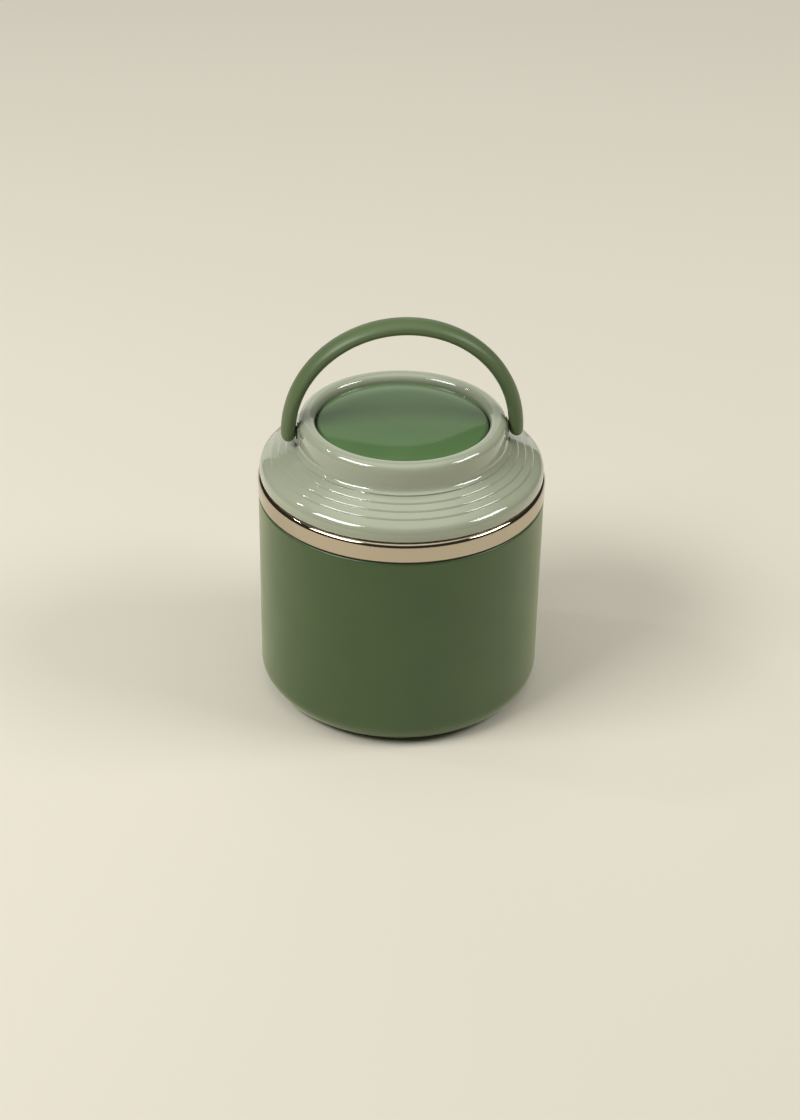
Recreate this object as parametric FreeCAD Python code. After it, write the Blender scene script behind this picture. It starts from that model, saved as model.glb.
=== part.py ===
import FreeCAD, Part
import math
import os

# Insulated food jar: a double-walled steel cup in a moulded casing, a screw lid with a stepped shoulder and a
# press-to-vent disc, and a carrying handle that swings on the lid. Millimetres, +Z up, the origin on the floor
# at the jar's centre. The handle's pivot axis runs along X, and the front of the jar faces -Y.

V = FreeCAD.Vector
Z_AXIS = V(0, 0, 1)
X_AXIS = V(1, 0, 0)

# Body
band_r = 55.0  # polished steel band, the widest part of the jar
casing_r = 54.8
casing_wall = 2.2
casing_bottom = 0.8
casing_top = 83.6
casing_corner = 9.5
casing_floor = 3.2
rib_count = 12
rib_width = 1.6
foot_inner_r = 37.0
foot_outer_r = 44.5
foot_groove = 1.0
sheet = 0.8  # steel sheet of the vessel
can_r = 50.6
can_bottom = 5.9
step_z = 84.2  # underside of the band's step, which the rim gasket carries
bead_r = 1.9
bead_top = 92.0
gutter_z = 89.6
neck_r = 45.4
lip_z = 97.0
cup_r = 43.0
cup_floor = 12.8
cup_corner = 12.0
running_gap = 0.1

# Lid cover
skirt_r = 54.2
skirt_bottom = 92.4
skirt_round = 4.0
cover_wall = 2.0
shoulder_slope = math.radians(29.0)
shoulder_corner_z = 97.1  # where the line of the shoulder meets the skirt
ridge_outer_r = 50.2
ridge_inner_r = 41.4
ridge_count = 4
ridge_riser = 0.45  # radial width of a ridge's steep outer face
ridge_lift = 0.7  # height of that face
neck_wall_r = 39.5
neck_fillet = 2.4
collar_top = 115.6
rim_outer_round = 3.0
rim_inner_round = 2.0
well_r = 33.1
well_floor = 107.6
web = 1.6  # thickness of the well's wall and floor
hollow_r = 37.3  # inside of the neck wall
hollow_top = 112.6

# Vent in the lid's centre
disc_r = 32.6
disc_top = 115.3
disc_under = 110.9
disc_skirt_bottom = 109.8
crown_r = 321.0  # crown of the disc's middle
crown_edge = 21.0  # where the crown passes into the roll-off
roll_r = 75.0
roll_edge = 31.2
rim_round = 1.4
stem_r = 2.5
stem_bottom = 90.2
spring_seat = 101.0
guide_r = 6.6
valve_top = 93.4

# Inner lid
plug_r = 42.4
plug_bottom = 93.5
plug_floor = 95.3
plug_ledge = 98.0
thread_wall_r = 46.9
inner_skirt_r = 48.8
inner_skirt_bottom = 90.6

# Handle
pivot_z = 109.6  # also the centre of the arch
arch_r = 43.2
bar_half_thick = 2.8  # the bar is oval, thin across the arch and deep along the Y axis
bar_half_deep = 5.1
pin_r = 1.4
pin_inner_x = 35.7
pin_outer_x = 44.4
boss_face_x = 39.9
boss_half_width = 4.0
washer_r = 2.6
clip_x = 35.95
clip_thick = 0.6


def corner_round(before, corner, after, radius):
    """The start, middle and end of the arc that rounds a corner of an outline."""
    to_before = (before - corner).normalize()
    to_after = (after - corner).normalize()
    half_angle = to_before.getAngle(to_after) / 2
    reach = radius / math.tan(half_angle)
    depth = radius / math.sin(half_angle) - radius
    inwards = (to_before + to_after).normalize()
    return corner + to_before * reach, corner + inwards * depth, corner + to_after * reach


def path_edges(points, closed):
    """Edges of an outline in the XZ plane. A point is (r, z), or (r, z, radius) where its corner is rounded."""
    corners = [V(p[0], 0, p[1]) for p in points]
    radii = [p[2] if len(p) > 2 else 0 for p in points]
    count = len(corners)
    stops = []
    arcs = []
    for i, corner in enumerate(corners):
        if radii[i]:
            start, middle, end = corner_round(corners[i - 1], corner, corners[(i + 1) % count], radii[i])
            stops.append((start, end))
            arcs.append(Part.Arc(start, middle, end).toShape())
        else:
            stops.append((corner, corner))
            arcs.append(None)
    edges = []
    last = count if closed else count - 1
    for i in range(count):
        if arcs[i]:
            edges.append(arcs[i])
        if i < last:
            here = stops[i][1]
            there = stops[(i + 1) % count][0]
            if here.distanceToPoint(there) > 0.001:
                edges.append(Part.makeLine(here, there))
    return edges


def turned(edges):
    """A solid of revolution about the jar's axis, from the edges of a closed outline."""
    face = Part.Face(Part.Wire(Part.__sortEdges__(edges)))
    solid = face.revolve(V(0, 0, 0), Z_AXIS, 360)
    if solid.Volume < 0:
        solid.reverse()
    return solid


def turned_outline(points):
    return turned(path_edges(points, True))


def ring(inner, outer, bottom, top):
    return turned_outline([(inner, bottom), (outer, bottom), (outer, top), (inner, top)])


def rod_x(radius, start, end, z):
    return Part.makeCylinder(radius, end - start, V(start, 0, z), X_AXIS)


def both_sides(solid):
    """A compound of the solid on the +X side and its half-turned twin on the -X side."""
    twin = solid.copy()
    twin.rotate(V(0, 0, 0), Z_AXIS, 180)
    return Part.makeCompound([solid, twin])


def shoulder_z(r):
    """Height of the shoulder's line, on which the grooves between the ridges lie."""
    return shoulder_corner_z + (skirt_r - r) * math.tan(shoulder_slope)


def outer_shell():
    """Moulded casing: a cup with a rounded bottom edge, a groove for the foot ring and inner centring ribs."""
    inner_r = casing_r - casing_wall
    groove_top = casing_bottom + foot_groove
    recess = casing_bottom + 0.6
    shell = turned_outline([
        (0, recess),
        (foot_inner_r - 2, recess, 0.5),
        (foot_inner_r - 1.5, casing_bottom),
        (foot_inner_r, casing_bottom),
        (foot_inner_r, groove_top),
        (foot_outer_r, groove_top),
        (foot_outer_r, casing_bottom),
        (casing_r, casing_bottom, casing_corner),
        (casing_r, casing_top, 0.8),
        (inner_r, casing_top, 0.4),
        (inner_r, casing_floor, casing_corner - casing_wall),
        (0, casing_floor),
    ])
    rib_r = can_r + 0.15
    rib_profile = [(inner_r + 0.3, 14.0), (rib_r, 18.0), (rib_r, 76.0), (inner_r + 0.3, 80.0)]
    rib_face = Part.Face(Part.Wire(path_edges(rib_profile, True)))
    rib_face.translate(V(0, -rib_width / 2, 0))
    rib = rib_face.extrude(V(0, rib_width, 0))
    ribs = []
    for i in range(rib_count):
        copy = rib.copy()
        copy.rotate(V(0, 0, 0), Z_AXIS, 360.0 * (i + 0.5) / rib_count)
        ribs.append(copy)
    return shell.fuse(ribs).removeSplitter()


def foot_ring():
    gap = 0.05
    top = casing_bottom + foot_groove
    return turned_outline([
        (foot_inner_r + gap, 0, 0.4),
        (foot_outer_r - gap, 0, 0.4),
        (foot_outer_r - gap, top),
        (foot_inner_r + gap, top),
    ])


def base_pad():
    return ring(14.0, foot_outer_r, casing_floor, can_bottom)


def outer_can():
    """Outer wall of the vessel: sheet stepped out to the band, rolled over a bead and drawn in to the neck."""
    inside = can_r - sheet
    bead_inner = band_r - 2 * bead_r
    neck_top = lip_z - sheet
    return turned_outline([
        (can_r, can_bottom),
        (can_r, step_z, 0.6),
        (band_r, step_z, 0.8),
        (band_r, bead_top, bead_r),
        (bead_inner, bead_top, bead_r),
        (bead_inner, gutter_z, 0.4),
        (neck_r, gutter_z, 0.8),
        (neck_r, neck_top),
        (neck_r - sheet, neck_top),
        (neck_r - sheet, gutter_z - sheet, 0.8 + sheet),
        (bead_inner + sheet, gutter_z - sheet, 0.4),
        (bead_inner + sheet, bead_top - sheet, bead_r - sheet),
        (band_r - sheet, bead_top - sheet, bead_r - sheet),
        (band_r - sheet, step_z + sheet, 0.3),
        (inside, step_z + sheet, 0.6 + sheet),
        (inside, can_bottom),
    ])


def inner_cup():
    """Food vessel, with the lip that is welded to the neck of the outer wall."""
    outside = cup_r + sheet
    return turned_outline([
        (0, cup_floor),
        (cup_r, cup_floor, cup_corner),
        (cup_r, lip_z, 0.3),
        (neck_r, lip_z, 0.4),
        (neck_r, lip_z - sheet),
        (outside, lip_z - sheet, 0.2),
        (outside, cup_floor - sheet, cup_corner + sheet),
        (0, cup_floor - sheet),
    ])


dimple_z = can_bottom + 1.7


def can_base():
    """Pressed bottom plate with an upturned flange and the dimple that the vessel was evacuated through."""
    flange_r = can_r - sheet - 0.05
    plate_top = can_bottom + sheet
    plate = turned_outline([
        (0.9, dimple_z),
        (5.0, dimple_z, 0.5),
        (6.6, can_bottom, 0.5),
        (flange_r, can_bottom, 3.6),
        (flange_r, can_bottom + 4.1),
        (flange_r - sheet, can_bottom + 4.1),
        (flange_r - sheet, plate_top, 2.8),
        (7.0, plate_top, 0.5),
        (5.4, dimple_z + sheet, 0.5),
        (0.9, dimple_z + sheet),
    ])
    return plate


def vacuum_seal():
    return turned_outline([(0, dimple_z - 1.3), (3.0, dimple_z - 1.3, 0.9), (3.2, dimple_z), (0, dimple_z)])


def getter():
    return Part.makeCylinder(4.0, 2.0, V(22, 0, can_bottom + sheet))


def rim_gasket():
    return ring(can_r + 0.5, casing_r - 0.4, casing_top, step_z)


def ridge_outline():
    """The stepped ridges of the shoulder, from the outermost groove inwards."""
    pitch = (ridge_outer_r - ridge_inner_r) / (ridge_count - 1)
    points = []
    for i in range(ridge_count):
        groove_r = ridge_outer_r - i * pitch
        groove_z = shoulder_z(groove_r)
        points.append((groove_r, groove_z, 0.15))
        points.append((groove_r - ridge_riser, groove_z + ridge_lift, 0.35))
    return points


def lid_cover():
    """Moulded cover: skirt, stepped shoulder, neck and rounded rim round a well, with two pivot bosses."""
    skirt_inner = skirt_r - cover_wall
    inside_drop = cover_wall / math.cos(shoulder_slope) + 0.2
    well_outer = well_r + web - 0.1
    floor_under = well_floor - web
    guide_outer = guide_r + web
    cover = turned_outline(
        [
            (skirt_inner, skirt_bottom),
            (skirt_r, skirt_bottom, 0.5),
            (skirt_r, shoulder_corner_z, skirt_round),
        ]
        + ridge_outline()
        + [
            (neck_wall_r, shoulder_z(neck_wall_r), neck_fillet),
            (neck_wall_r, collar_top, rim_outer_round),
            (well_r, collar_top, rim_inner_round),
            (well_r, well_floor, 0.6),
            (guide_r, well_floor, 0.3),
            (guide_r, spring_seat),
            (stem_r + running_gap, spring_seat),
            (stem_r + running_gap, spring_seat - web),
            (guide_outer, spring_seat - web),
            (guide_outer, floor_under),
            (well_outer, floor_under, 0.4),
            (well_outer, hollow_top, 0.5),
            (hollow_r, hollow_top, 0.5),
            (hollow_r, shoulder_z(hollow_r) - inside_drop, 1.0),
            (skirt_inner, shoulder_z(skirt_inner) - inside_drop, skirt_round - cover_wall),
        ]
    )
    for side in (1, -1):
        cover = cover.fuse(pivot_boss(side))
        bore = rod_x(pin_r + 0.08, hollow_r - 3, boss_face_x + 1, pivot_z)
        if side < 0:
            bore.rotate(V(0, 0, 0), Z_AXIS, 180)
        cover = cover.cut(bore.common(outside_of_hollow(side)))
    return cover.removeSplitter()


def pivot_boss(side):
    """Flat upright pad with a round head on the neck, which the end of the handle turns against."""
    start = hollow_r + 0.5
    depth = boss_face_x - start
    foot_z = shoulder_z(neck_wall_r) - 0.6
    head = Part.makeCylinder(boss_half_width, depth, V(start, 0, pivot_z), X_AXIS)
    stem = Part.makeBox(depth, 2 * boss_half_width, pivot_z - foot_z, V(start, -boss_half_width, foot_z))
    pad = head.fuse(stem)
    if side < 0:
        pad.rotate(V(0, 0, 0), Z_AXIS, 180)
    return pad


def outside_of_hollow(side):
    """Space outside the hollow of the collar, so that a pivot bore stops there and spares the well's wall."""
    block = Part.makeBox(20, 20, 20, V(hollow_r - 0.7, -10, pivot_z - 10))
    if side < 0:
        block.rotate(V(0, 0, 0), Z_AXIS, 180)
    return block


def lid_inner():
    """Inner lid: threaded skirt round the steel neck, closing flange, and a plug in the mouth with the vent hole."""
    return turned_outline([
        (thread_wall_r, inner_skirt_bottom, 0.4),
        (inner_skirt_r, inner_skirt_bottom, 0.4),
        (inner_skirt_r, 93.0, 0.4),
        (skirt_r - cover_wall - 0.1, 93.0),
        (skirt_r - cover_wall - 0.1, 94.6),
        (inner_skirt_r, 94.6, 0.4),
        (inner_skirt_r, 97.1),
        (45.0, 99.2),
        (40.6, 99.2),
        (40.6, plug_floor, 1.5),
        (3.6, plug_floor),
        (3.6, plug_bottom),
        (plug_r, plug_bottom, 1.5),
        (plug_r, plug_ledge),
        (45.8, plug_ledge),
        (45.8, 97.3),
        (thread_wall_r, 96.5),
    ])


def lid_insulation():
    return turned_outline([
        (9.0, plug_floor),
        (38.6, plug_floor, 0.5),
        (40.3, 97.2),
        (40.3, 101.0),
        (35.0, 104.0),
        (35.0, well_floor - web - 0.1),
        (9.0, well_floor - web - 0.1),
    ])


def lid_seal():
    return turned_outline([
        (plug_r + 0.3, lip_z + 0.05),
        (45.5, lip_z + 0.05, 0.3),
        (45.5, plug_ledge - 0.05),
        (plug_r + 0.3, plug_ledge - 0.05),
    ])


def top_disc():
    """Press cap: a shallow crown that rolls off to its rim, a stiffening skirt, and a socket for the stem."""
    hub_bottom = spring_seat + 3.0
    socket_r = stem_r + 0.02
    crown_centre = disc_top - crown_r
    crown_slope = math.asin(crown_edge / crown_r)
    crown_edge_z = crown_centre + crown_r * math.cos(crown_slope)
    roll_centre_r = crown_edge - roll_r * math.sin(crown_slope)
    roll_centre_z = crown_edge_z - roll_r * math.cos(crown_slope)

    def on_crown(slope):
        return V(crown_r * math.sin(slope), 0, crown_centre + crown_r * math.cos(slope))

    def on_roll(slope):
        return V(roll_centre_r + roll_r * math.sin(slope), 0, roll_centre_z + roll_r * math.cos(slope))

    roll_slope = math.asin((roll_edge - roll_centre_r) / roll_r)
    edge = on_roll(roll_slope)
    rim_z = edge.z - (disc_r - roll_edge) * math.tan(roll_slope)
    under = path_edges([
        (0, disc_under - 0.3),
        (socket_r, disc_under - 0.3),
        (socket_r, hub_bottom),
        (4.2, hub_bottom),
        (4.2, disc_under, 0.4),
        (disc_r - 1.8, disc_under, 0.4),
        (disc_r - 1.8, disc_skirt_bottom),
        (disc_r, disc_skirt_bottom),
        (disc_r, rim_z, rim_round),
        (edge.x, edge.z),
    ], False)
    roll = Part.Arc(edge, on_roll((crown_slope + roll_slope) / 2), on_crown(crown_slope))
    crown = Part.Arc(on_crown(crown_slope), on_crown(crown_slope / 2), V(0, 0, disc_top))
    axis = Part.makeLine(V(0, 0, disc_top), V(0, 0, disc_under - 0.3))
    return turned(under + [roll.toShape(), crown.toShape(), axis])


clip_groove_top = spring_seat - web - 0.05


def vent_stem():
    """Push rod with a groove for its stop ring and a head that holds the valve."""
    return turned_outline([
        (0, stem_bottom),
        (3.6, stem_bottom, 0.4),
        (3.6, stem_bottom + 0.8),
        (stem_r, stem_bottom + 0.8),
        (stem_r, clip_groove_top - 0.7),
        (stem_r - 0.5, clip_groove_top - 0.7),
        (stem_r - 0.5, clip_groove_top),
        (stem_r, clip_groove_top),
        (stem_r, disc_under - 0.3),
        (0, disc_under - 0.3),
    ])


def vent_valve():
    return turned_outline([
        (stem_r + 0.02, stem_bottom + 0.8),
        (5.0, stem_bottom + 0.8, 0.6),
        (6.5, valve_top - 0.8, 0.3),
        (6.5, valve_top, 0.2),
        (stem_r + 0.02, valve_top),
    ])


def split_ring(inner, outer, thick, slot):
    """Flat retaining ring with a slot on its -Y side, lying on z = 0."""
    washer = ring(inner, outer, 0, thick)
    return washer.cut(Part.makeBox(slot, outer + 1, thick + 2, V(-slot / 2, -outer - 1, -1)))


def vent_clip():
    clip = split_ring(stem_r - 0.45, 4.2, 0.6, 3.4)
    clip.translate(V(0, 0, clip_groove_top - 0.65))
    return clip


def helix_arcs(radius, pitch, turns, bottom):
    """A helix as arcs: each quarter turn is a pair of arcs that meet halfway with one tangent."""
    spans = 4 * turns
    climb = pitch / (2 * math.pi)

    def place(i):
        angle = i * math.pi / 2
        return V(radius * math.cos(angle), radius * math.sin(angle), bottom + climb * angle)

    def heading(i):
        angle = i * math.pi / 2
        return V(-radius * math.sin(angle), radius * math.cos(angle), climb).normalize()

    chord = place(1) - place(0)
    tangents = heading(0) + heading(1)
    # The reach d of both arcs' corners solves |chord - d * tangents| = 2 d.
    a = 4 - tangents.dot(tangents)
    b = 2 * chord.dot(tangents)
    reach = (math.sqrt(b * b + 4 * a * chord.dot(chord)) - b) / (2 * a)
    arcs = []
    for i in range(spans):
        first_corner = place(i) + heading(i) * reach
        second_corner = place(i + 1) - heading(i + 1) * reach
        joint = (first_corner + second_corner) / 2
        for start, corner, end in ((place(i), first_corner, joint), (joint, second_corner, place(i + 1))):
            half_angle = (start - corner).getAngle(end - corner) / 2
            arc_r = reach * math.tan(half_angle)
            middle = corner_round(start, corner, end, arc_r)[1]
            arcs.append(Part.Arc(start, middle, end).toShape())
    return arcs


def vent_spring():
    """Compression spring round the hub, between its seat in the cover and the underside of the disc."""
    wire_r = 0.4
    coil_r = 5.2
    turns = 4
    bottom = spring_seat + wire_r + 0.04
    top = disc_under - wire_r - 0.04
    path = Part.Wire(helix_arcs(coil_r, (top - bottom) / turns, turns, bottom))
    start = path.Edges[0].valueAt(path.Edges[0].FirstParameter)
    along = path.Edges[0].tangentAt(path.Edges[0].FirstParameter)
    section = Part.Wire(Part.makeCircle(wire_r, start, along))
    coil = path.makePipeShell([section], True, False)
    return coil if coil.Volume > 0 else coil.reversed()


def bar_oval(x):
    """The bar's oval section, level at the pivot's height round the given x."""
    centre = V(x, 0, pivot_z)
    return Part.Ellipse(centre + V(0, bar_half_deep, 0), centre + V(bar_half_thick, 0, 0), centre)


def bar_end(x):
    """Lower end of the bar: half a ball of the bar's thickness, stretched to its depth."""
    end = Part.makeSphere(bar_half_thick, V(0, 0, 0), Z_AXIS, -90, 0, 360)
    stretch = FreeCAD.Matrix()
    stretch.scale(1, bar_half_deep / bar_half_thick, 1)
    end = end.transformGeometry(stretch)
    end.translate(V(x, 0, pivot_z))
    return end


def handle():
    """Oval-section carrying arch, half a circle about the pivot axis, with rounded ends."""
    section = Part.Face(Part.Wire(bar_oval(-arch_r).toShape()))
    arch = section.revolve(V(0, 0, pivot_z), V(0, 1, 0), 180)
    arch = arch.fuse([bar_end(-arch_r), bar_end(arch_r)])
    holes = both_sides(rod_x(pin_r + 0.02, arch_r - bar_half_thick - 1, pin_outer_x, pivot_z))
    return arch.cut(holes).removeSplitter()


def pivot_pins():
    pin = rod_x(pin_r, pin_inner_x, pin_outer_x, pivot_z)
    groove = rod_x(pin_r + 1, clip_x - 0.05, clip_x + clip_thick + 0.05, pivot_z)
    core = rod_x(pin_r - 0.4, clip_x - 1, clip_x + 1.5, pivot_z)
    return both_sides(pin.cut(groove.cut(core)))


def pin_washers():
    start = boss_face_x
    washer = rod_x(washer_r, start, start + 0.4, pivot_z)
    return both_sides(washer.cut(rod_x(pin_r + 0.02, start - 1, start + 1, pivot_z)))


def pin_clips():
    clip = split_ring(pin_r - 0.35, 2.6, clip_thick, 2.0)
    clip.rotate(V(0, 0, 0), V(0, 1, 0), 90)
    clip.translate(V(clip_x, 0, pivot_z))
    return both_sides(clip)


SUBPARTS = [
    outer_shell, foot_ring, base_pad, outer_can, inner_cup, can_base, vacuum_seal, getter, rim_gasket,
    lid_cover, lid_inner, lid_insulation, lid_seal,
    top_disc, vent_stem, vent_valve, vent_clip, vent_spring,
    handle, pivot_pins, pin_washers, pin_clips,
]


def main():
    os.makedirs("parts", exist_ok=True)
    for make in SUBPARTS:
        shape = make()
        box = shape.BoundBox
        print(
            "%-16s solids %d valid %s volume %.2f z %.2f to %.2f"
            % (make.__name__, len(shape.Solids), shape.isValid(), shape.Volume, box.ZMin, box.ZMax)
        )
        shape.exportStep("parts/%s.step" % make.__name__)


main()
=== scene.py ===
import math

import bmesh
import bpy
from mathutils import Matrix, Vector


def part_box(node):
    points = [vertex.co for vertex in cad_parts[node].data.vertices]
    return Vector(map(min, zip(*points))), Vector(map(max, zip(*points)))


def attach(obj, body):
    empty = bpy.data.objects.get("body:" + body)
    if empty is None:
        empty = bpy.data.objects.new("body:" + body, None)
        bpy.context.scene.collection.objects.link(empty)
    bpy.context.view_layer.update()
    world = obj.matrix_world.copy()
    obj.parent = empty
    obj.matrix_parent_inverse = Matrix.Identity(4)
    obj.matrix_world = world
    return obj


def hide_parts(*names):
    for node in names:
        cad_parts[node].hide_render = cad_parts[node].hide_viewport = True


# Insulated food jar: satin green casing, polished steel band, glossy sage screw lid with a stepped
# shoulder, green press disc and a swinging carrying handle. Outlines are in millimetres (radius, height,
# rounding) and are turned about the jar's axis; objects are in metres.

MM = 0.001
TURN_STEPS = 192  # faces round a turned piece
ARC_STEP = math.radians(11)  # widest step on a rounded corner

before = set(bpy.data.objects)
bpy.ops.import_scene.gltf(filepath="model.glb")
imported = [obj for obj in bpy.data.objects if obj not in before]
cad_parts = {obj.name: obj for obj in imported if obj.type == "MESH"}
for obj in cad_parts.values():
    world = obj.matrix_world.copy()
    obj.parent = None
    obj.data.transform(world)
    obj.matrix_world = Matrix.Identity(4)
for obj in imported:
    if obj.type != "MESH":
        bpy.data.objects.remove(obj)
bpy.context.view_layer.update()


def low(node):
    """Lowest height of a node of the frame, in mm."""
    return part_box(node)[0].z / MM


def high(node):
    """Greatest height of a node of the frame, in mm."""
    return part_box(node)[1].z / MM


def radius(node):
    """Farthest reach of a node of the frame from the jar's axis, along X or Y, in mm."""
    corner_a, corner_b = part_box(node)
    return max(-corner_a.x, -corner_a.y, corner_b.x, corner_b.y) / MM


# Sizes that the frame gives
BAND_R = radius("outer_can")
CASING_R = radius("outer_shell")
CASING_LOW = low("outer_shell")
CASING_HIGH = high("outer_shell")
NECK_HIGH = high("outer_can")
LIP_Z = high("inner_cup")
SKIRT_R = radius("lid_cover")
SKIRT_LOW = low("lid_cover")
RIM_HIGH = high("lid_cover")
DISC_R = radius("top_disc")
DISC_HIGH = high("top_disc")
DISC_LOW = low("top_disc")
FOOT_R = radius("foot_ring")
FOOT_HIGH = high("foot_ring")
INNER_LID_LOW = low("lid_inner")
INNER_LID_HIGH = high("lid_inner")
STEP_Z = high("rim_gasket")
PIVOT_Z = high("handle") - radius("handle")
BAR_HALF_THICK = PIVOT_Z - low("handle")
BAR_HALF_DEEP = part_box("handle")[1].y / MM
ARCH_R = radius("handle") - BAR_HALF_THICK
WASHER_THICK = 0.4
PAD_FACE_X = radius("pin_washers") - WASHER_THICK

# Sizes that the frame doesn't give
CASING_WALL = 2.2
CASING_CORNER = 9.5
CASING_FLOOR = 3.2
FOOT_IN_R = 37.0
FOOT_GAP = 0.05
RECESS_RISE = 0.6
RIB_COUNT = 12
RIB_WIDTH = 1.6
RIB_LOW = 14.0
RIB_HIGH = 80.0
RIB_TAPER = 4.0
SHEET = 0.8
CAN_R = 50.6
BEAD_R = 1.9
BEAD_TOP = 92.0
GUTTER_Z = 89.6
NECK_R = 45.4
CUP_R = 43.0
CUP_FLOOR = 12.8
CUP_CORNER = 12.0
COVER_WALL = 2.0
SLOPE = math.radians(29.0)
SLOPE_Z = 97.1
SKIRT_ROUND = 4.0
RIDGE_OUTER_R = 50.2
RIDGE_INNER_R = 41.4
RIDGES = 4
RIDGE_RISER = 0.45
RIDGE_LIFT = 0.7
NECK_WALL_R = 39.5
WELL_R = 33.1
WELL_FLOOR = 107.6
WEB = 1.6
HOLLOW_R = 37.3
HOLLOW_TOP = 112.6
SPRING_SEAT = 101.0
GUIDE_R = 6.6
STEM_HOLE_R = 2.6
INNER_SKIRT_R = 48.8
FLANGE_LOW = 93.0
FLANGE_HIGH = 94.6
PANEL_LOW = 93.5
PANEL_HIGH = 95.3
PANEL_WALL_IN_R = 40.6
PANEL_WALL_OUT_R = 42.4
VALVE_HOLE_R = 3.6
INNER_SKIRT_TOP = 97.1
PLUG_R = 45.0
SEAL_SEAT_Z = 98.0
SEAL_SEAT_R = 45.8
SOCKET_IN_R = 2.52
SOCKET_OUT_R = 4.2
SOCKET_LENGTH = 6.9
DISC_SKIRT = 1.8
DISC_SKIRT_DROP = 1.1
THREAD_WALL_R = 46.9
THREAD_LEAD = 16.0
THREAD_STARTS = 4
THREAD_LOW = 91.6
THREAD_SWEEP = math.radians(75)
THREAD_HALF_WIDTH = 0.75
THREAD_TAPER = 5.0
THREAD_OFFSET = 0.2  # how far the middle of a ridge stands off its wall
PAD_HALF_WIDTH = 4.0


def support(points, reach=0.25):
    """Adds a point just inside each end of a long straight run, so that its shading stays flat."""
    held = []
    for here, there in zip(points, points[1:] + points[:1]):
        held.append(here)
        run = math.dist(here, there)
        if run > 4 * reach:
            share = reach / run
            for t in (share, 1 - share):
                held.append((here[0] + (there[0] - here[0]) * t, here[1] + (there[1] - here[1]) * t))
    return held


def rounded(corners):
    """Points of a closed outline of corners (r, z, rounding). A corner without a rounding stays sharp."""
    points = []
    count = len(corners)
    for i, corner in enumerate(corners):
        here = Vector(corner[:2])
        if len(corner) < 3:
            points.append(tuple(here))
            continue
        before = (Vector(corners[i - 1][:2]) - here).normalized()
        after = (Vector(corners[(i + 1) % count][:2]) - here).normalized()
        half = before.angle(after) / 2
        middle = (before + after).normalized()
        centre = here + middle * corner[2] / math.sin(half)
        sweep = math.pi - 2 * half
        steps = max(3, math.ceil(sweep / ARC_STEP))
        side = 1 if before.cross(after) > 0 else -1
        start = here + before * corner[2] / math.tan(half) - centre
        for k in range(steps + 1):
            angle = -side * sweep * k / steps
            turn = Matrix.Rotation(angle, 2)
            points.append(tuple(centre + turn @ start))
    return points


def turned(name, points, steps=TURN_STEPS):
    """A mesh object made by turning a closed outline of (r, z) points in mm about the jar's axis."""
    mesh = bpy.data.meshes.new(name)
    points = support(points)
    verts = []
    rings = []
    for r, z in points:
        if r < 1e-6:
            rings.append([len(verts)])
            verts.append((0, 0, z * MM))
        else:
            rings.append(list(range(len(verts), len(verts) + steps)))
            for k in range(steps):
                angle = 2 * math.pi * k / steps
                verts.append((r * math.cos(angle) * MM, r * math.sin(angle) * MM, z * MM))
    faces = []
    for lower, upper in zip(rings, rings[1:] + rings[:1]):
        for k in range(steps):
            corners = [lower[k % len(lower)], lower[(k + 1) % len(lower)]]
            corners += [upper[(k + 1) % len(upper)], upper[k % len(upper)]]
            unique = list(dict.fromkeys(corners))
            if len(unique) > 2:
                faces.append(unique)
    mesh.from_pydata(verts, [], faces)
    return finished(name, mesh)


def finished(name, mesh, sharp=30):
    """Closes a mesh, turns its faces outwards, smooths it up to an angle and links its object."""
    shape = bmesh.new()
    shape.from_mesh(mesh)
    bmesh.ops.remove_doubles(shape, verts=shape.verts, dist=1e-7)
    bmesh.ops.recalc_face_normals(shape, faces=shape.faces)
    shape.to_mesh(mesh)
    shape.free()
    for polygon in mesh.polygons:
        polygon.use_smooth = True
    mesh.set_sharp_from_angle(angle=math.radians(sharp))
    mesh.name = name
    made = bpy.data.objects.new(name, mesh)
    bpy.context.scene.collection.objects.link(made)
    return made


def dress(piece, material, body=None, stands_for=()):
    """Gives a piece its material, its body and the CAD nodes that it stands for."""
    piece.data.materials.clear()
    piece.data.materials.append(material)
    if body:
        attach(piece, body)
    if stands_for:
        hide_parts(*stands_for)
    return piece


# Materials

def linear(code):
    """sRGB hex to linear RGBA."""
    parts = [int(code[i:i + 2], 16) / 255 for i in (1, 3, 5)]
    return tuple(p / 12.92 if p <= 0.04045 else ((p + 0.055) / 1.055) ** 2.4 for p in parts) + (1.0,)


def add(tree, kind, inputs=None, **settings):
    """Adds a node with its settings; an input is a constant or another node's output."""
    made = tree.nodes.new(kind)
    for key, value in settings.items():
        setattr(made, key, value)
    for key, value in (inputs or {}).items():
        if isinstance(value, bpy.types.NodeSocket):
            tree.links.new(value, made.inputs[key])
        else:
            made.inputs[key].default_value = value
    return made


def new_material(name):
    """An empty node material and its tree."""
    material = bpy.data.materials.new(name)
    material.use_nodes = True
    material.node_tree.nodes.clear()
    return material, material.node_tree


def surface_noise(tree, size_mm, detail=2.0, stretch=(1, 1, 1)):
    """Noise on Object coordinates whose features are about size_mm across."""
    place = add(tree, "ShaderNodeTexCoord")
    scale = tuple(s / (size_mm * MM) for s in stretch)
    mapped = add(tree, "ShaderNodeMapping", {"Vector": place.outputs["Object"], "Scale": scale})
    return add(tree, "ShaderNodeTexNoise", {
        "Vector": mapped.outputs["Vector"], "Scale": 1.0, "Detail": detail,
    })


def patchy(tree, size_mm, lowest, highest, detail=2.0):
    """A value that wanders from lowest to highest over patches about size_mm across."""
    noise = surface_noise(tree, size_mm, detail)
    patches = add(tree, "ShaderNodeMapRange", {
        "Value": noise.outputs["Fac"],
        "From Min": 0.3,
        "From Max": 0.7,
        "To Min": lowest,
        "To Max": highest,
    })
    return patches.outputs["Result"]


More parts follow.
